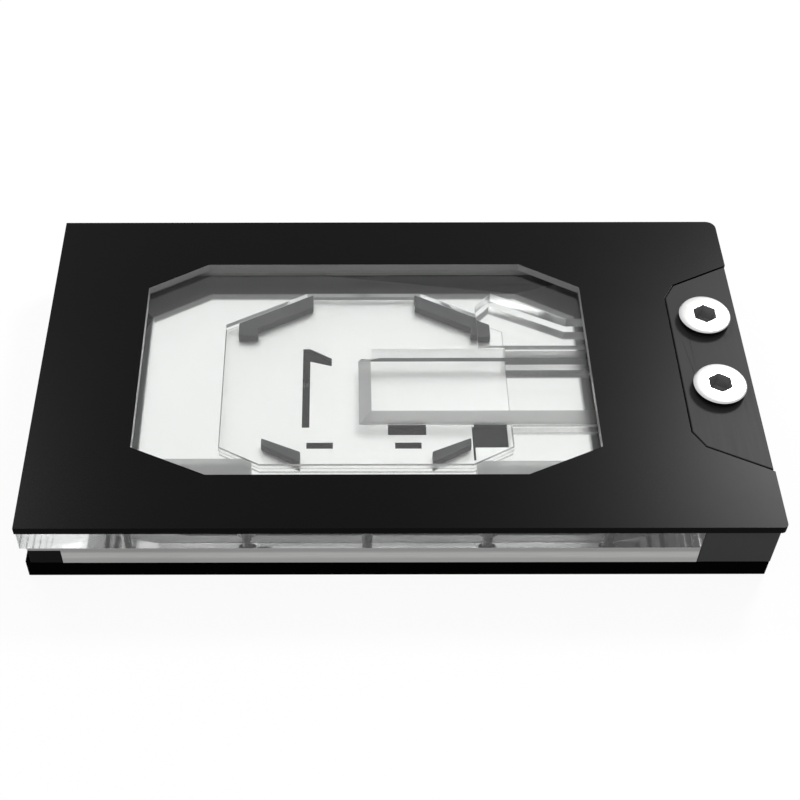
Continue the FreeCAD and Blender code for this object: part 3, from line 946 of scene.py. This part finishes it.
class COLDPLATE_OT_clear_top(bpy.types.Operator):
    """Clear plate with the chamber, both channels and the screw holes cut into it"""

    bl_idname = "coldplate.clear_top"
    bl_label = "Clear plate"

    def execute(self, context):
        low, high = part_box("clear_top")
        plate = clear_blank(low, high)
        cut_chamber(plate, low[2])
        cut_seats(plate, high[2])
        rework(plate, lambda bm: smooth_round(bm, CLEAR_SMOOTH))
        dress(plate, clear_acrylic(), "clear_top")
        mark(
            plate, milled_acrylic("milled_acrylic", tone=0.24, rough=0.45),
            lambda spot, facing: abs(facing.z) < FLAT or at_height(spot, low[2] + LAND_HEIGHT),
        )
        # The inlet's back wall is nearly black: painted shade on that wall.
        mark(
            plate, milled_acrylic("inlet_wall_shade_acrylic", tone=0.03, rough=0.45),
            lambda spot, facing: facing.y < -FACING and abs(spot.y - INLET_Y[1]) < AT_WALL,
        )
        mark(
            plate, milled_acrylic("roof_acrylic", tone=0.66, rough=0.3),
            lambda spot, facing: at_height(spot, low[2] + ROOF_HEIGHT),
        )
        # The outer sides take the painted shade by the block and under the cover.
        mark(
            plate, milled_acrylic("sawn_acrylic", tone=0.88, rough=0.10, end=0.25),
            lambda spot, facing: at_edge(spot, low, high, AT_WALL),
        )
        return {"FINISHED"}


def at_height(spot, z):
    """True for places that lie at one height."""
    return abs(spot.z - z) < AT_HEIGHT


def clear_blank(low, high):
    """The clear plate's block, with its screw holes and its outer edges broken."""
    gap = sizes().air_gap
    z0, z1 = low[2] + gap, high[2] - gap
    bm = bmesh.new()
    edges = loop(bm, rectangle(low[0], high[0], low[1], high[1]), z0)
    for x, y in row_spots(ALL_SCREWS):
        edges += circle(bm, x, y, z0, SCREW_HOLE_RADIUS, SCREW_HOLE_SIDES)
    fill_and_raise(bm, edges, z1 - z0)
    break_edges(
        bm, CLEAR_EDGE,
        keep=lambda e: at_edge((e.verts[0].co + e.verts[1].co) / 2, low, high, AT_OUTLINE),
    )
    return as_object("clear_plate", bm)


def cut_chamber(plate, floor):
    """Hollow the underside: the room over the jet plate, both channels, the seal's land and patches, two
    of them as painted shade.
    """
    under = floor - UNDERCUT
    step = floor + STEP_HEIGHT
    ceiling = floor + CEILING_HEIGHT
    carve(plate, slab("room", jet_points(), under, floor + ROOM_HEIGHT))
    carve(plate, inlet("inlet", under, step, (0.0, 0.0, 0.0)))
    carve(plate, inlet("inlet_roof", step - STEP_OVERLAP, ceiling, INLET_LEAN))
    carve(plate, slab("outlet", OUTLET, under, ceiling))
    carve(plate, seal_land(under, floor + LAND_HEIGHT))
    for x0, x1, y0, y1, height in FROSTED_AND_SHADE_PATCHES:
        carve(plate, slab("patch", rectangle(x0, x1, y0, y1), under, floor + height))


def cut_seats(plate, top):
    """Sink a seat for the head of each screw that holds the clear plate."""
    for x, y in row_spots(TOP_SCREWS):
        bm = bmesh.new()
        bottom = circle(bm, x, y, top - SEAT_DEPTH, SEAT_RADIUS, SEAT_SIDES)
        fill_and_raise(bm, bottom, SEAT_CUTTER)
        carve(plate, as_object("seat", bm))


def seal_land(z0, z1):
    """A shallow cutter for the milled band that the seal bears on, round the chamber."""
    low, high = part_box("chamber_seal")
    bm = bmesh.new()
    edges = []
    for grow in (LAND_OUTSIDE, LAND_INSIDE):
        outline = octagon(
            low[0] - grow, high[0] + grow * LAND_RIGHT_SHARE, low[1] - grow, high[1] + grow,
            LAND_BACK_CUT, LAND_FRONT_CUT,
        )
        edges += loop(bm, outline, z0)
    fill_and_raise(bm, edges, z1 - z0)
    return as_object("land", bm)


def inlet(name, z0, z1, lean):
    """A cutter for the inlet with rounded corners, whose left, front and back walls may lean inwards."""
    bm = bmesh.new()
    fill_and_raise(bm, loop(bm, rectangle(*INLET_X, *INLET_Y), z0), z1 - z0)
    middle = (sum(INLET_X) / 2, sum(INLET_Y) / 2, (z0 + z1) / 2)
    top = [vert for vert in bm.verts if vert.co.z > middle[2]]
    left = [vert for vert in top if vert.co.x < middle[0]]
    front = [vert for vert in top if vert.co.y < middle[1]]
    back = [vert for vert in top if vert.co.y > middle[1]]
    bmesh.ops.translate(bm, verts=left, vec=(lean[0], 0.0, 0.0))
    bmesh.ops.translate(bm, verts=front, vec=(0.0, lean[1], 0.0))
    bmesh.ops.translate(bm, verts=back, vec=(0.0, -lean[2], 0.0))
    break_edges(
        bm, INLET_CORNER, segments=INLET_CORNER_STEPS,
        keep=lambda e: abs(e.verts[0].co.z - e.verts[1].co.z) > 0.5 * (z1 - z0),
    )
    return as_object(name, bm)


class COLDPLATE_OT_base_plate(bpy.types.Operator):
    """Nickel-plated base plate with its contact faces"""

    bl_idname = "coldplate.base_plate"
    bl_label = "Base plate"

    def execute(self, context):
        finish_node("base_plate", plated_nickel())
        return {"FINISHED"}


class COLDPLATE_OT_jet_plate(bpy.types.Operator):
    """Bright slotted plate over the fins, with the black insert under it, whose near-black tone is
    painted shade in the slots
    """

    bl_idname = "coldplate.jet_plate"
    bl_label = "Jet plate"

    def execute(self, context):
        finish_node("jet_plate", brushed_steel())
        # The insert's near-black tone is painted shade in the slots.
        dark = shade(colours().acetal, 0.25)
        finish_node("jet_insert", machined_acetal("insert_acetal_slot_shade", dark, specular=0.1))
        return {"FINISHED"}


class COLDPLATE_OT_clamps(bpy.types.Operator):
    """Four black corner clamps"""

    bl_idname = "coldplate.clamps"
    bl_label = "Corner clamps"

    def execute(self, context):
        black = machined_acetal("clamp_acetal", shade(colours().acetal, 1.4))
        for where in ("back", "front"):
            for hand in ("left", "right"):
                finish_node("clamp_%s_%s" % (where, hand), black, BLOCK_EDGE)
        return {"FINISHED"}


class COLDPLATE_OT_terminal_block(bpy.types.Operator):
    """Black terminal block"""

    bl_idname = "coldplate.terminal_block"
    bl_label = "Terminal block"

    def execute(self, context):
        black = machined_acetal(
            "terminal_acetal", shade(colours().acetal, 1.3), rough=0.32, specular=0.06
        )
        finish_node("terminal_block", black, BLOCK_EDGE)
        return {"FINISHED"}


class COLDPLATE_OT_plugs(bpy.types.Operator):
    """Bright stop plugs with a hexagon socket, and the ring under each"""

    bl_idname = "coldplate.plugs"
    bl_label = "Stop plugs"

    def execute(self, context):
        rubber = seal_rubber()
        black = socket_painted_shade()
        for name in ("inlet", "outlet"):
            (x0, y0, foot), (x1, y1, top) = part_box("plug_" + name)
            x, y = (x0 + x1) / 2, (y0 + y1) / 2
            metal = turned_metal("turned_" + name, colours().plug, (x, y, 0.0))
            plug = plug_piece(name, x, y, foot, top)
            dress(plug, metal, "plug_" + name)
            # The socket's faces take the painted shade.
            mark(plug, black, lambda spot, facing: in_socket(spot, x, y, top))
            ring = ring_piece("plug_ring_" + name, x, y, *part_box("plug_seal_" + name))
            dress(ring, rubber, "plug_seal_" + name)
        return {"FINISHED"}


def in_socket(spot, x, y, top):
    """True for places inside a plug's socket."""
    deepest, highest = SOCKET_BELOW
    inside = math.hypot(spot.x - x, spot.y - y) < SOCKET_REACH
    return inside and top - deepest < spot.z < top - highest


def plug_piece(name, x, y, z0, z1):
    """One plug: its profile spun about its axis, and a hexagon socket cut in."""
    head = z1 - PLUG_HEAD
    profile = [(0.0, z1)]
    profile += [(PLUG_RIM - inwards, z1 - down) for inwards, down in PLUG_TOP_EDGE]
    profile += [(PLUG_RIM, head + PLUG_UNDER_EDGE), (PLUG_RIM - PLUG_UNDER_EDGE, head)]
    profile += [(PLUG_SHANK, head), (PLUG_SHANK, z0), (0.0, z0)]
    bm = bmesh.new()
    spin_round(bm, x, y, profile, PLUG_STEPS)
    piece = as_object("stop_plug_" + name, bm)
    bm = bmesh.new()
    hexagon = circle(bm, x, y, z1 - SOCKET_DEPTH, SOCKET_FLATS / math.sqrt(3.0), 6)
    fill_and_raise(bm, hexagon, SOCKET_CUTTER)
    carve(piece, as_object("socket", bm))
    rework(piece, join_flats, smooth_round)
    return piece


def ring_piece(name, x, y, low, high):
    """A rubber ring with a round section between its two faces."""
    outer = (high[0] - low[0]) / 2
    middle, reach = (outer + RING_INNER) / 2, (outer - RING_INNER) / 2
    centre, half = (low[2] + high[2]) / 2, (high[2] - low[2]) / 2
    turn = [math.tau * k / RING_SECTION for k in range(RING_SECTION)]
    section = [(middle + reach * math.cos(a), centre + half * math.sin(a)) for a in turn]
    bm = bmesh.new()
    spin_round(bm, x, y, section, RING_STEPS, closed=True)
    smooth_round(bm, RUBBER_SMOOTH)
    return as_object(name, bm)


class COLDPLATE_OT_mounting_frame(bpy.types.Operator):
    """Black mounting frame, corner block, pads, seals and fasteners"""

    bl_idname = "coldplate.mounting_frame"
    bl_label = "Mounting side"

    def execute(self, context):
        black = machined_acetal(
            "frame_acetal", shade(colours().acetal, 0.07), rough=0.5, specular=0.0
        )
        finish_node("mounting_frame", black, BLOCK_EDGE)
        grey = machined_acetal(
            "corner_acetal", shade(colours().acetal, 0.25), rough=0.5, specular=0.02
        )
        finish_node("corner_block", grey, BLOCK_EDGE)
        pad = soft_pad()
        for name in ("memory_left", "memory_right", "memory_back", "power_left", "power_right"):
            finish_node("pad_" + name, pad, PAD_EDGE)
        rubber = seal_rubber()
        dress(seal_piece(), rubber, "chamber_seal")
        finish_node("block_gasket", rubber)
        steel = screw_steel()
        for name in ("top_screws", "cover_screws"):
            finish_node(name, steel)
        brass = turned_metal("standoff_brass", BRASS, (0.0, 0.0, 0.0), rough=0.25)
        finish_node("standoffs", brass)
        return {"FINISHED"}


def seal_piece():
    """The chamber's seal, rounded and pressed up against the clear plate."""
    bm = bmesh.new()
    bm.from_mesh(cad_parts["chamber_seal"].data)
    bmesh.ops.remove_doubles(bm, verts=bm.verts[:], dist=SOLID_MERGE)
    break_edges(bm, SEAL_ROUNDING, segments=3)
    bmesh.ops.translate(bm, verts=bm.verts[:], vec=(0.0, 0.0, SEAL_RAISE))
    smooth_round(bm, RUBBER_SMOOTH)
    return as_object("seal_ring", bm)


class COLDPLATE_OT_stage(bpy.types.Operator):
    """Pale floor, soft studio light and the camera"""

    bl_idname = "coldplate.stage"
    bl_label = "Stage"

    def execute(self, context):
        scene = context.scene
        scene.view_settings.view_transform = "Standard"
        scene.cycles.max_bounces = 24
        scene.cycles.glossy_bounces = 16
        scene.cycles.transmission_bounces = 20
        self.camera(scene)
        self.floor()
        self.world(scene)
        for lamp in LAMPS:
            self.lamp(scene, *lamp)
        return {"FINISHED"}

    def camera(self, scene):
        """The camera, turned from looking straight down."""
        data = bpy.data.cameras.new("camera")
        data.lens = CAMERA_LENS
        data.sensor_width = CAMERA_SENSOR
        data.shift_x = CAMERA_SHIFT
        data.clip_start = 0.01
        camera = bpy.data.objects.new("camera", data)
        camera.location = CAMERA_PLACE
        turned = Matrix.Identity(3)
        for degrees, axis in CAMERA_TURNS:
            turned = turned @ Matrix.Rotation(math.radians(degrees), 3, axis)
        camera.rotation_euler = turned.to_euler()
        scene.collection.objects.link(camera)
        scene.camera = camera

    def floor(self):
        """A pale floor that keeps the object's shadow."""
        bm = bmesh.new()
        bmesh.ops.create_grid(bm, x_segments=1, y_segments=1, size=FLOOR_SIZE)
        floor = as_object("floor", bm)
        paint = new_paint("floor")
        dull = paint.node("ShaderNodeBsdfDiffuse", inputs={"Color": (*colours().floor, 1.0)})
        glow = paint.node("ShaderNodeEmission", inputs={"Color": WHITE, "Strength": 1.0})
        white = seen_directly(paint) * FLOOR_GLOW
        mixed = paint.node(
            "ShaderNodeMixShader",
            inputs={SHADER_FACTOR: white, SHADER_FIRST: dull, SHADER_SECOND: glow},
        )
        floor.data.materials.append(paint.surface(mixed))

    def world(self, scene):
        """White all round, a little dimmer as light than as background."""
        world = bpy.data.worlds.new("studio")
        scene.world = world
        paint = Paint(world)
        strength = WORLD_LIGHT + (1.0 - WORLD_LIGHT) * seen_directly(paint)
        back = paint.node("ShaderNodeBackground", inputs={"Color": WHITE, "Strength": strength})
        paint.node("ShaderNodeOutputWorld", inputs={"Surface": back})

    def lamp(self, scene, name, place, aim, size, power):
        """A soft square lamp that points at its aim."""
        data = bpy.data.lights.new(name, "AREA")
        data.size = size
        data.energy = power
        lamp = bpy.data.objects.new(name, data)
        lamp.location = place
        beam = Vector(aim) - Vector(place)
        lamp.rotation_euler = beam.to_track_quat("-Z", "Y").to_euler()
        scene.collection.objects.link(lamp)


def seen_directly(paint):
    """1 for rays from the camera, off metal or through the clear plate, otherwise 0."""
    seen = paint.node("ShaderNodeLightPath", output="Is Camera Ray")
    for kind in ("Is Glossy Ray", "Is Transmission Ray"):
        ray = paint.node("ShaderNodeLightPath", output=kind)
        seen = seen.maths("MAXIMUM", ray)
    return seen


class COLDPLATE_PT_panel(bpy.types.Panel):
    """Lists the pieces"""

    bl_idname = "COLDPLATE_PT_panel"
    bl_label = "Cold plate"
    bl_space_type = "VIEW_3D"
    bl_region_type = "UI"
    bl_category = "Cold plate"

    def draw(self, context):
        for group in (context.scene.cold_plate_sizes, context.scene.cold_plate_colours):
            for name in group.bl_rna.properties.keys():
                if name not in ("rna_type", "name"):
                    self.layout.prop(group, name)
        for operator in PIECES:
            self.layout.operator(operator.bl_idname)


PIECES = (
    COLDPLATE_OT_stage,
    COLDPLATE_OT_cover,
    COLDPLATE_OT_clear_top,
    COLDPLATE_OT_base_plate,
    COLDPLATE_OT_jet_plate,
    COLDPLATE_OT_clamps,
    COLDPLATE_OT_terminal_block,
    COLDPLATE_OT_plugs,
    COLDPLATE_OT_mounting_frame,
)
CLASSES = (ColdPlateSizes, ColdPlateColours) + PIECES + (COLDPLATE_PT_panel,)


def register():
    for item in CLASSES:
        bpy.utils.register_class(item)
    bpy.types.Scene.cold_plate_sizes = PointerProperty(type=ColdPlateSizes)
    bpy.types.Scene.cold_plate_colours = PointerProperty(type=ColdPlateColours)


def unregister():
    del bpy.types.Scene.cold_plate_colours
    del bpy.types.Scene.cold_plate_sizes
    for item in reversed(CLASSES):
        bpy.utils.unregister_class(item)


def main():
    register()
    for operator in PIECES:
        group, name = operator.bl_idname.split(".")
        getattr(getattr(bpy.ops, group), name)()


if __name__ == "__main__":
    main()
